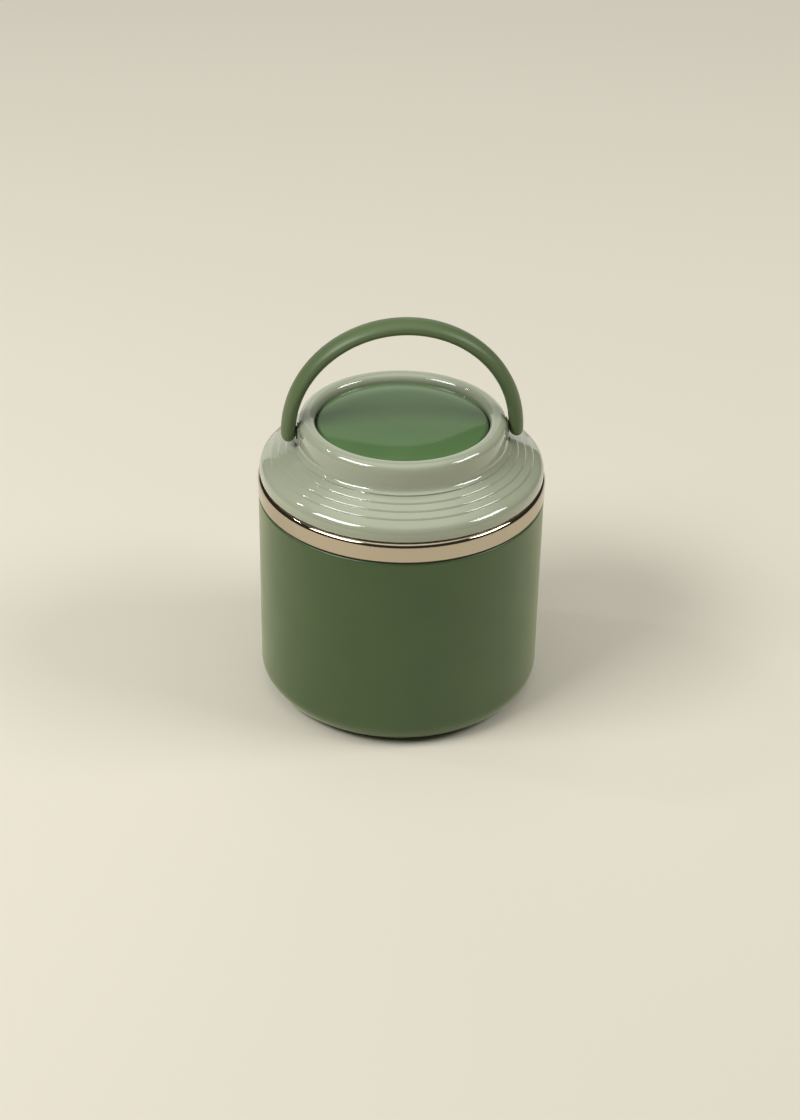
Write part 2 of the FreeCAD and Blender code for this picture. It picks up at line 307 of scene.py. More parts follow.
def moulded_plastic(name, colour, shade, roughness, grain_mm, grain_depth_mm, sheen=0.0, coat=0.0):
    """Injection-moulded plastic: even colour with faint flow clouding, and the grain that its mould had.

    Sheen is the pale bloom that a fine-grained surface shows at its sides. A coat is a clear gloss lacquer,
    which makes the lamps' reflections crisp. A real mould's grain is under 0.1 mm across. It is drawn
    coarser here, so that it shows.
    """
    cloud_mm = 22.0
    smudge_mm = 14.0
    material, tree = new_material(name)
    base = add(tree, "ShaderNodeMix", {
        "Factor": patchy(tree, cloud_mm, 0.0, 1.0), "A": linear(colour), "B": linear(shade),
    }, data_type="RGBA")
    grain = surface_noise(tree, grain_mm, 1.5)
    bump = add(tree, "ShaderNodeBump", {
        "Height": grain.outputs["Fac"], "Distance": grain_depth_mm * MM,
    })
    shader = add(tree, "ShaderNodeBsdfPrincipled", {
        "Base Color": base.outputs["Result"],
        "Roughness": patchy(tree, smudge_mm, roughness * 0.9, roughness * 1.12, 3.0),
        "Normal": bump.outputs["Normal"],
        "IOR": 1.5,
        "Sheen Weight": sheen,
        "Sheen Roughness": 0.38,
        "Sheen Tint": linear("#e9eec6"),
        "Coat Weight": coat,
        "Coat Roughness": 0.03,
    })
    add(tree, "ShaderNodeOutputMaterial", {"Surface": shader.outputs["BSDF"]})
    return material


def turned_steel(name, colour, roughness, line_mm, line_depth_mm, wave_depth_mm=0.0):
    """Stainless steel polished on a lathe: fine lines run round the axis, so the noise changes with height.

    The sheet under the polish waves a little, which makes its reflections uneven. Real polishing lines are
    far finer than the ones here, which are drawn as coarse as they need to show.
    """
    haze_mm = 9.0
    wave_mm = 7.0
    material, tree = new_material(name)
    waves = surface_noise(tree, wave_mm, 1.0, (1, 1, 0.5))
    wavy = add(tree, "ShaderNodeBump", {
        "Height": waves.outputs["Fac"], "Distance": wave_depth_mm * MM,
    })
    lines = surface_noise(tree, line_mm, 2.0, (0.01, 0.01, 1))
    lined = add(tree, "ShaderNodeBump", {
        "Height": lines.outputs["Fac"],
        "Distance": line_depth_mm * MM,
        "Normal": wavy.outputs["Normal"],
    })
    shader = add(tree, "ShaderNodeBsdfPrincipled", {
        "Base Color": linear(colour),
        "Metallic": 1.0,
        "Roughness": patchy(tree, haze_mm, roughness * 0.8, roughness * 1.25),
        "Normal": lined.outputs["Normal"],
    })
    add(tree, "ShaderNodeOutputMaterial", {"Surface": shader.outputs["BSDF"]})
    return material


def soft_rubber(name, colour, roughness, subsurface=0.0):
    """Moulded silicone: low gloss, a little dusty, with light going into pale grades."""
    dust_mm = 3.0
    pore_mm = 0.6
    pore_depth_mm = 0.02
    material, tree = new_material(name)
    pores = surface_noise(tree, pore_mm, 2.0)
    bump = add(tree, "ShaderNodeBump", {
        "Height": pores.outputs["Fac"], "Distance": pore_depth_mm * MM,
    })
    shader = add(tree, "ShaderNodeBsdfPrincipled", {
        "Base Color": linear(colour),
        "Roughness": patchy(tree, dust_mm, roughness * 0.85, min(1.0, roughness * 1.15), 3.0),
        "Normal": bump.outputs["Normal"],
        "IOR": 1.41,
        "Subsurface Weight": subsurface,
        "Subsurface Scale": 1.5 * MM,
    })
    add(tree, "ShaderNodeOutputMaterial", {"Surface": shader.outputs["BSDF"]})
    return material


def cell_foam(name, colour):
    """Closed-cell polyethylene foam: matt, with cells about a millimetre across."""
    cell_mm = 1.1
    cell_depth_mm = 0.15
    material, tree = new_material(name)
    place = add(tree, "ShaderNodeTexCoord")
    cells = add(tree, "ShaderNodeTexVoronoi", {
        "Vector": place.outputs["Object"], "Scale": 1 / (cell_mm * MM),
    })
    shade = add(tree, "ShaderNodeMix", {
        "Factor": cells.outputs["Distance"], "A": linear(colour), "B": linear("#cfcabb"),
    }, data_type="RGBA")
    bump = add(tree, "ShaderNodeBump", {
        "Height": cells.outputs["Distance"], "Distance": cell_depth_mm * MM,
    })
    shader = add(tree, "ShaderNodeBsdfPrincipled", {
        "Base Color": shade.outputs["Result"],
        "Roughness": 0.9,
        "Normal": bump.outputs["Normal"],
    })
    add(tree, "ShaderNodeOutputMaterial", {"Surface": shader.outputs["BSDF"]})
    return material


# Plastics: name, colour, clouded colour, roughness, grain size and depth in mm
# Fine-grained mould: broad soft highlights and a pale bloom at the sides
SATIN_PP = moulded_plastic(
    "satin_moulded_polypropylene", "#405a2d", "#3d562b", 0.34, 0.5, 0.006, sheen=0.65)
# Polished mould under clear lacquer: crisp lamps on a pale body
GLOSS_SAGE = moulded_plastic(
    "gloss_moulded_abs_sage", "#a5ab94", "#a1a790", 0.035, 6.0, 0.003, coat=0.8)
# Polished mould: a mirror of the room over the green, with soft flow ripples
GLOSS_GREEN = moulded_plastic("gloss_moulded_abs_green", "#577449", "#537046", 0.05, 7.0, 0.003)
# Spark-eroded mould: dull and even, so that the bar's roundness shows as one slow shade
MATT_GREEN = moulded_plastic(
    "spark_finish_polypropylene_handle", "#5a6d45", "#566842", 0.42, 0.45, 0.008)
# No pigment: milky, with a soft gloss
NATURAL_PP = moulded_plastic("natural_polypropylene", "#dcdcd2", "#d6d6cb", 0.3, 1.2, 0.004)
# Dry black: a dark dull edge beside the steel pin
BLACK_NYLON = moulded_plastic("black_nylon_washer", "#1c1c1b", "#222221", 0.45, 0.6, 0.005)
# Metals: name, colour, roughness, line spacing and depth in mm
# Buffed sheet: a mirror that wavers a little, with hardly a line in it
POLISHED_STEEL = turned_steel(
    "mirror_polished_stainless_steel", "#c3b6a2", 0.05, 0.25, 0.0006, wave_depth_mm=0.03)
# Spun and brushed: fine rings that draw each highlight out
SATIN_STEEL = turned_steel("satin_spun_stainless_steel", "#c9c8c4", 0.38, 0.35, 0.004)
# Turned rod: bright, with its tool marks
PIN_STEEL = turned_steel("turned_stainless_pin", "#a9a8a4", 0.3, 0.3, 0.003)
# Drawn through a die: a grey gloss
SPRING_STEEL = turned_steel("drawn_spring_steel", "#9b9a97", 0.35, 0.4, 0.003)
# Cooled in the open: grey, without a reflection
DULL_SOLDER = turned_steel("dull_glass_solder", "#8f8f8b", 0.55, 1.0, 0.01)
# Silicones and foam: the dark grades read as a shadow line, the clear one glows a little, the foam is chalky
DARK_SILICONE = soft_rubber("dark_gasket_silicone", "#2a2922", 0.6)
FOOT_SILICONE = soft_rubber("green_black_foot_silicone", "#343a2e", 0.7)
CLEAR_SILICONE = soft_rubber("translucent_seal_silicone", "#dfe0da", 0.45, subsurface=0.4)
FOAM = cell_foam("closed_cell_foam", "#efece1")


# Turned pieces

def slope_z(r):
    """Height of the line that the shoulder's grooves lie on."""
    return SLOPE_Z + (SKIRT_R - r) * math.tan(SLOPE)


def make_casing():
    """Moulded casing: round cup with a large bottom corner and a groove that the foot ring sits in."""
    inner_r = CASING_R - CASING_WALL
    recess = CASING_LOW + RECESS_RISE
    groove_r = FOOT_R + FOOT_GAP
    casing = turned("casing", rounded([
        (0, recess),
        (FOOT_IN_R - 2, recess, 0.5),
        (FOOT_IN_R - 1.5, CASING_LOW),
        (FOOT_IN_R, CASING_LOW),
        (FOOT_IN_R, FOOT_HIGH),
        (groove_r, FOOT_HIGH),
        (groove_r, CASING_LOW),
        (CASING_R, CASING_LOW, CASING_CORNER),
        (CASING_R, CASING_HIGH, 0.8),
        (inner_r, CASING_HIGH, 0.4),
        (inner_r, CASING_FLOOR, CASING_CORNER - CASING_WALL),
        (0, CASING_FLOOR),
    ]))
    return dress(casing, SATIN_PP, "jar", ["outer_shell"])


def make_foot():
    """Soft ring that the jar stands on."""
    inner = FOOT_IN_R + FOOT_GAP
    foot = turned("foot", rounded([
        (inner, 0, 0.4),
        (FOOT_R, 0, 0.4),
        (FOOT_R, FOOT_HIGH),
        (inner, FOOT_HIGH),
    ]))
    return dress(foot, FOOT_SILICONE, "jar", ["foot_ring"])


def make_steel_wall():
    """Outer steel sheet: wall, step, band, bead, gutter and neck, in one thickness."""
    bead_inner = BAND_R - 2 * BEAD_R
    low_z = low("outer_can")
    wall = turned("steel_wall", rounded([
        (CAN_R, low_z),
        (CAN_R, STEP_Z, 0.6),
        (BAND_R, STEP_Z, 0.8),
        (BAND_R, BEAD_TOP, BEAD_R),
        (bead_inner, BEAD_TOP, BEAD_R),
        (bead_inner, GUTTER_Z, 0.4),
        (NECK_R, GUTTER_Z, 0.8),
        (NECK_R, NECK_HIGH),
        (NECK_R - SHEET, NECK_HIGH),
        (NECK_R - SHEET, GUTTER_Z - SHEET, 0.8 + SHEET),
        (bead_inner + SHEET, GUTTER_Z - SHEET, 0.4),
        (bead_inner + SHEET, BEAD_TOP - SHEET, BEAD_R - SHEET),
        (BAND_R - SHEET, BEAD_TOP - SHEET, BEAD_R - SHEET),
        (BAND_R - SHEET, STEP_Z + SHEET, 0.3),
        (CAN_R - SHEET, STEP_Z + SHEET, 0.6 + SHEET),
        (CAN_R - SHEET, low_z),
    ]))
    return dress(wall, POLISHED_STEEL, "jar", ["outer_can"])


def make_cup():
    """Inner steel cup with the drinking edge that is folded over the neck."""
    outside = CUP_R + SHEET
    cup = turned("cup", rounded([
        (0, CUP_FLOOR),
        (CUP_R, CUP_FLOOR, CUP_CORNER),
        (CUP_R, LIP_Z, 0.3),
        (NECK_R, LIP_Z, 0.4),
        (NECK_R, NECK_HIGH),
        (outside, NECK_HIGH, 0.2),
        (outside, CUP_FLOOR - SHEET, CUP_CORNER + SHEET),
        (0, CUP_FLOOR - SHEET),
    ]))
    return dress(cup, SATIN_STEEL, "jar", ["inner_cup"])


def ridge_corners():
    """Grooves and crests of the shoulder's stepped ridges, from the outermost inwards."""
    pitch = (RIDGE_OUTER_R - RIDGE_INNER_R) / (RIDGES - 1)
    corners = []
    for i in range(RIDGES):
        groove_r = RIDGE_OUTER_R - i * pitch
        groove_z = slope_z(groove_r)
        corners.append((groove_r, groove_z, 0.2))
        corners.append((groove_r - RIDGE_RISER, groove_z + RIDGE_LIFT, 1.0))
    return corners


def make_cover():
    """Lid cover: skirt, stepped shoulder, neck and rounded rim round the well that the disc sits in."""
    skirt_inner = SKIRT_R - COVER_WALL
    drop = COVER_WALL / math.cos(SLOPE) + 0.2
    well_outer = WELL_R + WEB - 0.1
    floor_under = WELL_FLOOR - WEB
    cover = turned("lid_shell", rounded(
        [
            (skirt_inner, SKIRT_LOW),
            (SKIRT_R, SKIRT_LOW, 0.5),
            (SKIRT_R, SLOPE_Z, SKIRT_ROUND),
        ]
        + ridge_corners()
        + [
            (NECK_WALL_R, slope_z(NECK_WALL_R), 2.4),
            (NECK_WALL_R, RIM_HIGH, 3.0),
            (WELL_R, RIM_HIGH, 2.5),
            (WELL_R, WELL_FLOOR, 0.6),
            (GUIDE_R, WELL_FLOOR, 0.3),
            (GUIDE_R, SPRING_SEAT),
            (STEM_HOLE_R, SPRING_SEAT),
            (STEM_HOLE_R, SPRING_SEAT - WEB),
            (GUIDE_R + WEB, SPRING_SEAT - WEB),
            (GUIDE_R + WEB, floor_under),
            (well_outer, floor_under, 0.4),
            (well_outer, HOLLOW_TOP, 0.5),
            (HOLLOW_R, HOLLOW_TOP, 0.5),
            (HOLLOW_R, slope_z(HOLLOW_R) - drop, 1.0),
            (skirt_inner, slope_z(skirt_inner) - drop, SKIRT_ROUND - COVER_WALL),
        ]
    ))
    return dress(cover, GLOSS_SAGE, "lid", ["lid_cover"])


def make_pivot_pads():
    """Upright pads with round heads on the neck, which the handle's ends turn against."""
    back_x = HOLLOW_R + 0.5
    foot_z = slope_z(NECK_WALL_R) - 0.6
    outline = [(back_x, -PAD_HALF_WIDTH, foot_z), (back_x, PAD_HALF_WIDTH, foot_z)]
    head_steps = 24
    for k in range(head_steps + 1):
        angle = math.pi * k / head_steps
        y = PAD_HALF_WIDTH * math.cos(angle)
        outline.append((back_x, y, PIVOT_Z + PAD_HALF_WIDTH * math.sin(angle)))
    pads = []
    for side in (1, -1):
        turned_outline = [(side * x, side * y, z) for x, y, z in outline]
        pads.append(slab_mesh("pad", turned_outline, (side * (PAD_FACE_X - back_x), 0, 0), 0.3))
    return dress(finished("pivot_pads", joined(pads)), GLOSS_SAGE, "lid")


def make_inner_lid():
    """Inner lid: threaded skirt, flange, panel with the valve's hole, and the seat of the sealing ring."""
    flange = SKIRT_R - COVER_WALL - 0.1
    inner_lid = turned("inner_lid", rounded([
        (THREAD_WALL_R, INNER_LID_LOW, 0.4),
        (INNER_SKIRT_R, INNER_LID_LOW, 0.4),
        (INNER_SKIRT_R, FLANGE_LOW, 0.4),
        (flange, FLANGE_LOW),
        (flange, FLANGE_HIGH),
        (INNER_SKIRT_R, FLANGE_HIGH, 0.4),
        (INNER_SKIRT_R, INNER_SKIRT_TOP),
        (PLUG_R, INNER_LID_HIGH),
        (PANEL_WALL_IN_R, INNER_LID_HIGH),
        (PANEL_WALL_IN_R, PANEL_HIGH, 1.5),
        (VALVE_HOLE_R, PANEL_HIGH),
        (VALVE_HOLE_R, PANEL_LOW),
        (PANEL_WALL_OUT_R, PANEL_LOW, 1.5),
        (PANEL_WALL_OUT_R, SEAL_SEAT_Z),
        (SEAL_SEAT_R, SEAL_SEAT_Z),
        (SEAL_SEAT_R, SEAL_SEAT_Z - 0.7),
        (THREAD_WALL_R, SEAL_SEAT_Z - 1.5),
    ]))
    return dress(inner_lid, NATURAL_PP, "lid", ["lid_inner"])


def make_disc():
    """Press disc: shallow crown that rolls off to its rim, with its skirt and stem socket below."""
    crown_r = 321.0
    crown_edge = 21.0
    roll_r = 75.0
    roll_edge = 31.2
    top_steps = 8
    under = DISC_LOW + SOCKET_LENGTH
    crown_slope = math.asin(crown_edge / crown_r)
    roll_centre_r = crown_edge - roll_r * math.sin(crown_slope)
    roll_centre_z = DISC_HIGH - crown_r + (crown_r - roll_r) * math.cos(crown_slope)
    roll_slope = math.asin((roll_edge - roll_centre_r) / roll_r)
    top = []
    for k in range(top_steps + 1):
        slope = roll_slope + (crown_slope - roll_slope) * k / top_steps
        top.append((roll_centre_r + roll_r * math.sin(slope), roll_centre_z + roll_r * math.cos(slope)))
    for k in range(1, top_steps + 1):
        slope = crown_slope * (1 - k / top_steps)
        top.append((crown_r * math.sin(slope), DISC_HIGH - crown_r * (1 - math.cos(slope))))
    rim_z = top[0][1] - (DISC_R - roll_edge) * math.tan(roll_slope)
    disc = turned("press_disc", rounded([
        (0, under - 0.3),
        (SOCKET_IN_R, under - 0.3),
        (SOCKET_IN_R, DISC_LOW),
        (SOCKET_OUT_R, DISC_LOW),
        (SOCKET_OUT_R, under, 0.4),
        (DISC_R - DISC_SKIRT, under, 0.4),
        (DISC_R - DISC_SKIRT, under - DISC_SKIRT_DROP),
        (DISC_R, under - DISC_SKIRT_DROP),
        (DISC_R, rim_z, 1.4),
    ] + top))
    return dress(disc, GLOSS_GREEN, "vent_button", ["top_disc"])


def slab_mesh(name, corners, push, edge=0.0):
    """A flat outline of points in mm pushed along a vector into a slab, with its far edges rounded."""
    count = len(corners)
    verts = [Vector(c) * MM for c in corners] + [(Vector(c) + Vector(push)) * MM for c in corners]
    faces = [range(count), range(count, 2 * count)]
    faces += [(k, (k + 1) % count, count + (k + 1) % count, count + k) for k in range(count)]
    mesh = bpy.data.meshes.new(name)
    mesh.from_pydata(verts, [], [tuple(face) for face in faces])
    if edge:
        shape = bmesh.new()
        shape.from_mesh(mesh)
        shape.faces.ensure_lookup_table()
        far = list(shape.faces[1].edges)
        bmesh.ops.bevel(shape, geom=far, offset=edge * MM, segments=3, profile=0.5, affect="EDGES")
        shape.to_mesh(mesh)
        shape.free()
    return mesh


def joined(meshes):
    """One mesh made of several."""
    shape = bmesh.new()
    for mesh in meshes:
        shape.from_mesh(mesh)
        bpy.data.meshes.remove(mesh)
    whole = bpy.data.meshes.new("joined")
    shape.to_mesh(whole)
    shape.free()
    return whole


# Geometry node pieces

def new_tree(name, sizes):
    """A geometry tree with a geometry input and output, and a named float input for each size."""
    tree = bpy.data.node_groups.new(name, "GeometryNodeTree")
    tree.interface.new_socket("Geometry", in_out="INPUT", socket_type="NodeSocketGeometry")
    tree.interface.new_socket("Geometry", in_out="OUTPUT", socket_type="NodeSocketGeometry")
    for size in sizes:
        tree.interface.new_socket(size, in_out="INPUT", socket_type="NodeSocketFloat")
    tree.interface.new_socket("Material", in_out="INPUT", socket_type="NodeSocketMaterial")
    return tree, add(tree, "NodeGroupInput")


def end_tree(tree, given, geometry):
    """Makes a tree's instances real, paints them and hands them out."""
    real = add(tree, "GeometryNodeRealizeInstances", {"Geometry": geometry})
    painted = add(tree, "GeometryNodeSetMaterial", {
        "Geometry": real.outputs["Geometry"], "Material": given.outputs["Material"],
    })
    add(tree, "NodeGroupOutput", {"Geometry": painted.outputs["Geometry"]})


def grown(name, base, tree, sizes, material, sharp=30):
    """Runs a geometry tree on an object and keeps the result as a plain mesh."""
    carrier = bpy.data.objects.new(name + "_base", base)
    bpy.context.scene.collection.objects.link(carrier)
    modifier = carrier.modifiers.new("grow", "NODES")
    modifier.node_group = tree
    values = dict(sizes, Material=material)
    for item in tree.interface.items_tree:
        if item.in_out == "INPUT" and item.name in values:
            modifier[item.identifier] = values[item.name]
    result = carrier.evaluated_get(bpy.context.evaluated_depsgraph_get())
    mesh = bpy.data.meshes.new_from_object(result)
    bpy.data.objects.remove(carrier)
    return finished(name, mesh, sharp)


def swept(tree, path, bar, taper):
    """Sweeps a round bar along a path. Over the taper's length its ends swell like half a ball."""
    curve = add(tree, "GeometryNodeMeshToCurve", {"Mesh": path})
    along = add(tree, "GeometryNodeSplineParameter").outputs["Length"]
    whole = add(tree, "GeometryNodeSplineLength").outputs["Length"]
    back = add(tree, "ShaderNodeMath", {0: whole, 1: along}, operation="SUBTRACT")
    near = add(tree, "ShaderNodeMath", {0: along, 1: back.outputs[0]}, operation="MINIMUM")
    share = add(tree, "ShaderNodeMath", {0: near.outputs[0], 1: taper}, operation="DIVIDE", use_clamp=True)
    left = add(tree, "ShaderNodeMath", {0: 1.0, 1: share.outputs[0]}, operation="SUBTRACT")
    square = add(tree, "ShaderNodeMath", {0: left.outputs[0], 1: 2.0}, operation="POWER")
    rest = add(tree, "ShaderNodeMath", {0: 1.0, 1: square.outputs[0]}, operation="SUBTRACT")
    swell = add(tree, "ShaderNodeMath", {0: rest.outputs[0]}, operation="SQRT")
    section = add(tree, "GeometryNodeCurvePrimitiveCircle", {"Resolution": 48, "Radius": bar})
    bar_mesh = add(tree, "GeometryNodeCurveToMesh", {
        "Curve": curve.outputs["Curve"],
        "Profile Curve": section.outputs["Curve"],
        "Scale": swell.outputs[0],
    })
    closed = add(tree, "GeometryNodeMergeByDistance", {
        "Geometry": bar_mesh.outputs["Mesh"], "Distance": 2e-6,
    })
    return closed.outputs["Geometry"]


def ringed(tree, geometry, count):
    """Repeats a geometry evenly round the jar's axis."""
    spots = add(tree, "GeometryNodeMeshLine", {"Count": count, "Offset": (0, 0, 0)})
    index = add(tree, "GeometryNodeInputIndex").outputs["Index"]
    step = add(tree, "ShaderNodeMath", {0: 2 * math.pi, 1: count}, operation="DIVIDE")
    angle = add(tree, "ShaderNodeMath", {0: index, 1: step.outputs[0]}, operation="MULTIPLY")
    turn = add(tree, "ShaderNodeCombineXYZ", {"Z": angle.outputs[0]})
    copies = add(tree, "GeometryNodeInstanceOnPoints", {
        "Points": spots.outputs["Mesh"], "Instance": geometry, "Rotation": turn.outputs["Vector"],
    })
    return copies.outputs["Instances"]


def bail_tree():
    """A bar with half-ball ends, stretched along Y into an oval."""
    tree, given = new_tree("oval_bail", ["Bar Radius", "Stretch"])
    bar_radius = given.outputs["Bar Radius"]
    bar = swept(tree, given.outputs["Geometry"], bar_radius, bar_radius)
    scale = add(tree, "ShaderNodeCombineXYZ", {"X": 1.0, "Y": given.outputs["Stretch"], "Z": 1.0})
    oval = add(tree, "GeometryNodeTransform", {"Geometry": bar, "Scale": scale.outputs["Vector"]})
    end_tree(tree, given, oval.outputs["Geometry"])
    return tree


def thread_tree():
    """One thread ridge with tapered ends, repeated for each start of the thread."""
    tree, given = new_tree("multi_start_thread", ["Ridge Radius", "Taper", "Starts"])
    size = given.outputs["Ridge Radius"]
    ridge = swept(tree, given.outputs["Geometry"], size, given.outputs["Taper"])
    end_tree(tree, given, ringed(tree, ridge, given.outputs["Starts"]))
    return tree


def rib_tree():
    """One rib, repeated round the inside of the casing."""
    tree, given = new_tree("rib_ring", ["Ribs"])
    end_tree(tree, given, ringed(tree, given.outputs["Geometry"], given.outputs["Ribs"]))
    return tree


def path_mesh(name, points):
    """An edge path through points given in mm."""
    mesh = bpy.data.meshes.new(name)
    mesh.from_pydata([Vector(p) * MM for p in points], [(i, i + 1) for i in range(len(points) - 1)], [])
    return mesh


def make_bail():
    """Carrying handle: half a circle about the pivot axis, with rounded ends that hang below it."""
    tip_steps = 12
    arch_steps = 120
    tip = []
    for k in range(tip_steps):
        tip.append(PIVOT_Z - BAR_HALF_THICK * math.cos(math.pi / 2 * k / tip_steps))
    path = [(-ARCH_R, 0, z) for z in tip]
    for k in range(arch_steps + 1):
        angle = math.pi * (1 - k / arch_steps)
        path.append((ARCH_R * math.cos(angle), 0, PIVOT_Z + ARCH_R * math.sin(angle)))
    path += [(ARCH_R, 0, z) for z in reversed(tip)]
    sizes = {"Bar Radius": BAR_HALF_THICK * MM, "Stretch": BAR_HALF_DEEP / BAR_HALF_THICK}
    bail = grown("bail", path_mesh("bail_path", path), bail_tree(), sizes, MATT_GREEN, 60)
    return dress(bail, MATT_GREEN, "carry_handle", ["handle"])


def make_thread(name, ridge_r, phase, material, body):
    """A four-start right-hand thread on a wall, as rolled or moulded ridges."""
    steps = 48
    path = []
    for k in range(steps + 1):
        angle = THREAD_SWEEP * k / steps
        z = THREAD_LOW + THREAD_LEAD * angle / (2 * math.pi)
        path.append((ridge_r * math.cos(angle + phase), ridge_r * math.sin(angle + phase), z))
    sizes = {
        "Ridge Radius": THREAD_HALF_WIDTH * MM, "Taper": THREAD_TAPER * MM, "Starts": THREAD_STARTS,
    }
    thread = grown(name, path_mesh(name + "_path", path), thread_tree(), sizes, material, 60)
    return dress(thread, material, body)


def make_ribs():
    """Upright ribs that centre the steel vessel in the casing."""
    wall_r = CASING_R - CASING_WALL + 0.3
    rib_r = CAN_R + 0.15
    corners = [
        (wall_r, RIB_LOW),
        (rib_r, RIB_LOW + RIB_TAPER),
        (rib_r, RIB_HIGH - RIB_TAPER),
        (wall_r, RIB_HIGH),
    ]
    half_step = math.pi / RIB_COUNT
    turn = Matrix.Rotation(half_step, 3, "Z")
    outline = [turn @ Vector((r, -RIB_WIDTH / 2, z)) for r, z in corners]
    rib = slab_mesh("rib", outline, turn @ Vector((0, RIB_WIDTH, 0)))
    ribs = grown("casing_ribs", rib, rib_tree(), {"Ribs": RIB_COUNT}, SATIN_PP)
    return dress(ribs, SATIN_PP, "jar")


def make_pieces():
    """Every piece that stands for a node of the frame, and the details that ride with it."""
    make_casing()
    make_ribs()
    make_foot()
    make_steel_wall()
    make_thread("neck_thread", NECK_R + THREAD_OFFSET, 0.0, POLISHED_STEEL, "jar")
    make_cup()
    make_cover()
    make_pivot_pads()
    make_inner_lid()
    half_pitch = math.pi / THREAD_STARTS
    lid_ridge_r = THREAD_WALL_R - THREAD_OFFSET
    make_thread("lid_thread", lid_ridge_r, half_pitch, NATURAL_PP, "lid")
    make_disc()
    make_bail()


KEPT_NODES = {
    "base_pad": FOAM,
    "can_base": SATIN_STEEL,
    "vacuum_seal": DULL_SOLDER,
    "getter": DULL_SOLDER,
    "rim_gasket": DARK_SILICONE,
    "lid_insulation": FOAM,
    "lid_seal": CLEAR_SILICONE,
    "vent_stem": NATURAL_PP,
    "vent_valve": CLEAR_SILICONE,
    "vent_clip": SPRING_STEEL,
    "vent_spring": SPRING_STEEL,
    "pivot_pins": PIN_STEEL,
    "pin_washers": BLACK_NYLON,
    "pin_clips": SPRING_STEEL,
}

make_pieces()
for node_name, node_material in KEPT_NODES.items():
    dress(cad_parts[node_name], node_material)


# Studio

FRONT_LEVEL = 0.04
CEILING_LEVEL = 1.2
CEILING_FROM = (0.72, 0.97)  # heights in the unit sphere of directions, as the other pairs here
BACKDROP_FROM = (0.3, 0.65)  # how far back the sides pass into the backdrop
BACKDROP_SLOPE = 0.8  # tangent of the angle at which the middle of the backdrop's top edge stands
BACKDROP_ARCH = 2.5  # how much lower that edge is at the sides
BACKDROP_EDGE = (-0.03, 0.03)
BACKDROP_LEVELS = (0.9, 0.6)  # at its foot and above
BACKDROP_FADE = (0.22, 0.36)
PAINTED_LIGHT_FADE = (-0.3, 0.9)  # metres along Y over which the floor's colour is painted lighter, as painted light
PAPER_HALF = 4.0
LAMP_TARGET = Vector((0, 0, 0.09))

# Name, azimuth, elevation, distance, width, height in metres, power in watts
SOFTBOXES = [
    ("left_softbox", -65, 45, 1.3, 0.74, 0.38, 11.5),
    ("right_softbox", 77, 40, 1.5, 0.72, 0.38, 9.0),
    ("left_kicker", -109, 43, 1.4, 0.03, 0.12, 0.9),
]

LENS_MM = 70.3
SENSOR_MM = 36.0
CAMERA_PLACE = Vector((-0.0685, -0.7244, 0.5067))
CAMERA_PITCH = math.radians(32.04)
CAMERA_HEADING = math.radians(5.4)
CAMERA_ROLL = math.radians(1.05)


def make_floor():
    """Matt paper whose colour is painted lighter towards the back: painted light that stands in for brighter
    light there. Its colour, not its light, makes the background.
    """
    cloud_mm = 900.0
    material, tree = new_material("matt_paper_with_painted_light")
    place = add(tree, "ShaderNodeTexCoord")
    spot = add(tree, "ShaderNodeSeparateXYZ", {"Vector": place.outputs["Object"]})
    away = add(tree, "ShaderNodeMapRange", {
        "Value": spot.outputs["Y"], "From Min": PAINTED_LIGHT_FADE[0], "From Max": PAINTED_LIGHT_FADE[1],
    })
    clouds = patchy(tree, cloud_mm, -0.04, 0.04, 1.0)
    share = add(tree, "ShaderNodeMath", {
        0: away.outputs["Result"], 1: clouds,
    }, operation="ADD", use_clamp=True)
    # Painted light: the floor's colour runs from a darker front to a lighter back
    paper = add(tree, "ShaderNodeMix", {
        "Factor": share.outputs[0], "A": linear("#d6d0c1"), "B": linear("#f6efe0"),
    }, data_type="RGBA")
    shader = add(tree, "ShaderNodeBsdfPrincipled", {
        "Base Color": paper.outputs["Result"], "Roughness": 0.85, "Specular IOR Level": 0.15,
    })
    add(tree, "ShaderNodeOutputMaterial", {"Surface": shader.outputs["BSDF"]})
    mesh = bpy.data.meshes.new("floor")
    corners = [(PAPER_HALF * x, PAPER_HALF * y, 0) for x, y in ((-1, -1), (1, -1), (1, 1), (-1, 1))]
    mesh.from_pydata(corners, [], [(0, 1, 2, 3)])
    mesh.materials.append(material)
    floor = bpy.data.objects.new("floor", mesh)
    bpy.context.scene.collection.objects.link(floor)


def softbox(name, azimuth, elevation, distance, width, height, power):
    """Area lamp aimed at the lid. Azimuth is measured from the front (-Y) towards the right (+X)."""
    a, e = math.radians(azimuth), math.radians(elevation)
    away = Vector((math.sin(a) * math.cos(e), -math.cos(a) * math.cos(e), math.sin(e)))
    lamp = bpy.data.lights.new(name, "AREA")
    lamp.shape = "RECTANGLE"
    lamp.size = width
    lamp.size_y = height
    lamp.energy = power
    placed = bpy.data.objects.new(name, lamp)
    placed.location = LAMP_TARGET + away * distance
    placed.rotation_mode = "QUATERNION"
    placed.rotation_quaternion = (-away).to_track_quat("-Z", "Y")
    bpy.context.scene.collection.objects.link(placed)


def soft_edge(tree, value, ends, before, after):
    """One level of light below a range of the value and another above it, with a soft passage between."""
    share = add(tree, "ShaderNodeMapRange", {
        "Value": value, "From Min": ends[0], "From Max": ends[1], "To Min": 0.0, "To Max": 1.0,
    }, interpolation_type="SMOOTHSTEP")
    level = add(tree, "ShaderNodeMix", {"Factor": share.outputs["Result"], "A": before, "B": after})
    return level.outputs["Result"]


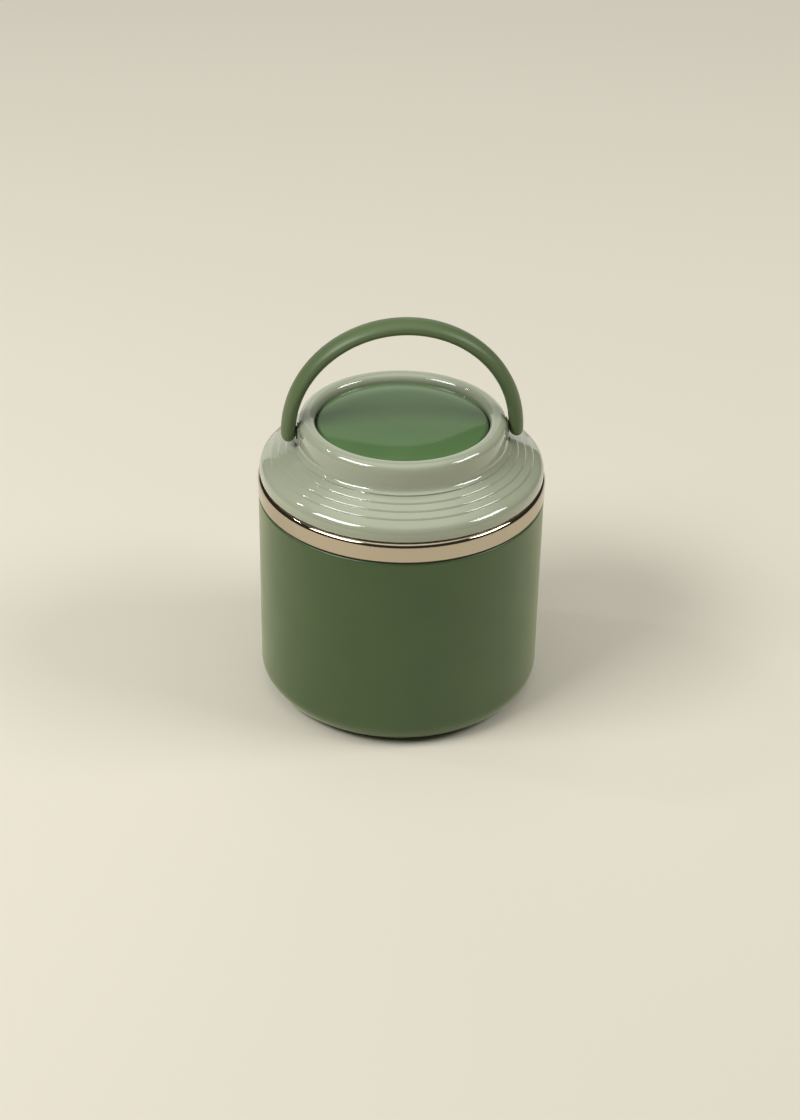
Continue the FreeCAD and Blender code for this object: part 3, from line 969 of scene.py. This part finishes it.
def make_room():
    """Studio room: a pale backdrop behind the jar, a lit ceiling and a darker front and sides.

    The camera itself sees one pale colour all round.
    """
    world = bpy.data.worlds.new("studio")
    bpy.context.scene.world = world
    world.use_nodes = True
    tree = world.node_tree
    tree.nodes.clear()
    place = add(tree, "ShaderNodeTexCoord")
    way = add(tree, "ShaderNodeSeparateXYZ", {"Vector": place.outputs["Generated"]})
    side, depth, height = way.outputs["X"], way.outputs["Y"], way.outputs["Z"]
    over_line = add(tree, "ShaderNodeMath", {
        0: depth, 1: -BACKDROP_SLOPE, 2: height,
    }, operation="MULTIPLY_ADD")
    side_squared = add(tree, "ShaderNodeMath", {0: side, 1: side}, operation="MULTIPLY")
    over_arch = add(tree, "ShaderNodeMath", {
        0: side_squared.outputs[0], 1: BACKDROP_ARCH, 2: over_line.outputs[0],
    }, operation="MULTIPLY_ADD")
    surround = soft_edge(tree, height, CEILING_FROM, FRONT_LEVEL, CEILING_LEVEL)
    backdrop = soft_edge(tree, height, BACKDROP_FADE, *BACKDROP_LEVELS)
    back = soft_edge(tree, over_arch.outputs[0], BACKDROP_EDGE, backdrop, surround)
    level = soft_edge(tree, depth, BACKDROP_FROM, surround, back)
    room = add(tree, "ShaderNodeBackground", {"Color": linear("#f8f7ef"), "Strength": level})
    plain = add(tree, "ShaderNodeBackground", {"Color": linear("#dad5c0"), "Strength": 1.0})
    rays = add(tree, "ShaderNodeLightPath").outputs
    seen = add(tree, "ShaderNodeMath", {
        0: rays["Is Camera Ray"], 1: rays["Is Transmission Ray"],
    }, operation="MAXIMUM")
    both = add(tree, "ShaderNodeMixShader", {
        "Fac": seen.outputs[0], 1: room.outputs["Background"], 2: plain.outputs["Background"],
    })
    add(tree, "ShaderNodeOutputWorld", {"Surface": both.outputs["Shader"]})


def make_camera():
    """Camera fitted to the photograph, looking down and a little askew of the handle's square-on view."""
    lens = bpy.data.cameras.new("camera")
    lens.lens = LENS_MM
    lens.sensor_width = SENSOR_MM
    reach = math.cos(CAMERA_PITCH)
    forward = Vector((
        math.sin(CAMERA_HEADING) * reach, math.cos(CAMERA_HEADING) * reach, -math.sin(CAMERA_PITCH),
    ))
    level = forward.cross(Vector((0, 0, 1))).normalized()
    above = level.cross(forward)
    right = level * math.cos(CAMERA_ROLL) + above * math.sin(CAMERA_ROLL)
    up = above * math.cos(CAMERA_ROLL) - level * math.sin(CAMERA_ROLL)
    camera = bpy.data.objects.new("camera", lens)
    turn = Matrix((right, up, -forward)).transposed()
    camera.matrix_world = Matrix.Translation(CAMERA_PLACE) @ turn.to_4x4()
    bpy.context.scene.collection.objects.link(camera)
    bpy.context.scene.camera = camera


make_floor()
make_room()
for lamp_row in SOFTBOXES:
    softbox(*lamp_row)
make_camera()
bpy.context.scene.view_settings.view_transform = "Standard"
